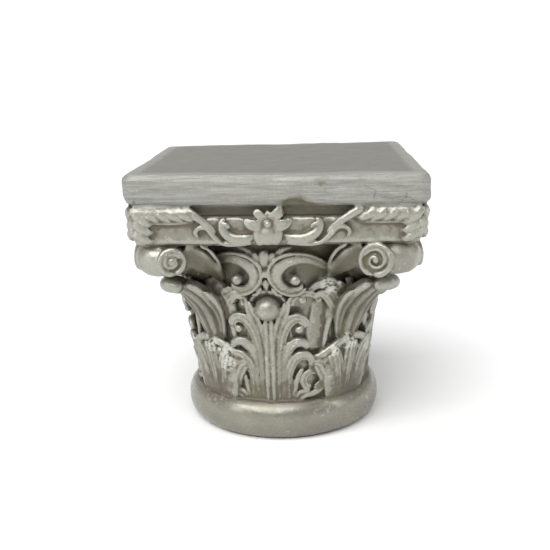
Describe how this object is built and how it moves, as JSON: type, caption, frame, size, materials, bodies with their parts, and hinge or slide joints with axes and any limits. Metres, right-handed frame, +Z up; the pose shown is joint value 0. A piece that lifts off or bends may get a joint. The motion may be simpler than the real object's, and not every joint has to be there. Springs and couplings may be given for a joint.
{
  "type": "corinthian capital",
  "caption": "Cast Corinthian capital with a thick square slab, moulded abacus, corner volutes, acanthus leaves on a flaring bell and a round base ring.",
  "frame": {"origin": "centre of the flat underside of the base ring", "axes": "+Z up through the middle of the slab, -Y towards the front face, +X to the right seen from the front"},
  "size_m": [0.32, 0.32, 0.316],
  "materials": {
    "painted_plaster": "pewter-grey metallic paint, worn to pale plaster on the ridges and in the hollows"
  },
  "bodies": {
    "root": {"capital": "painted_plaster"}
  },
  "joints": []
}
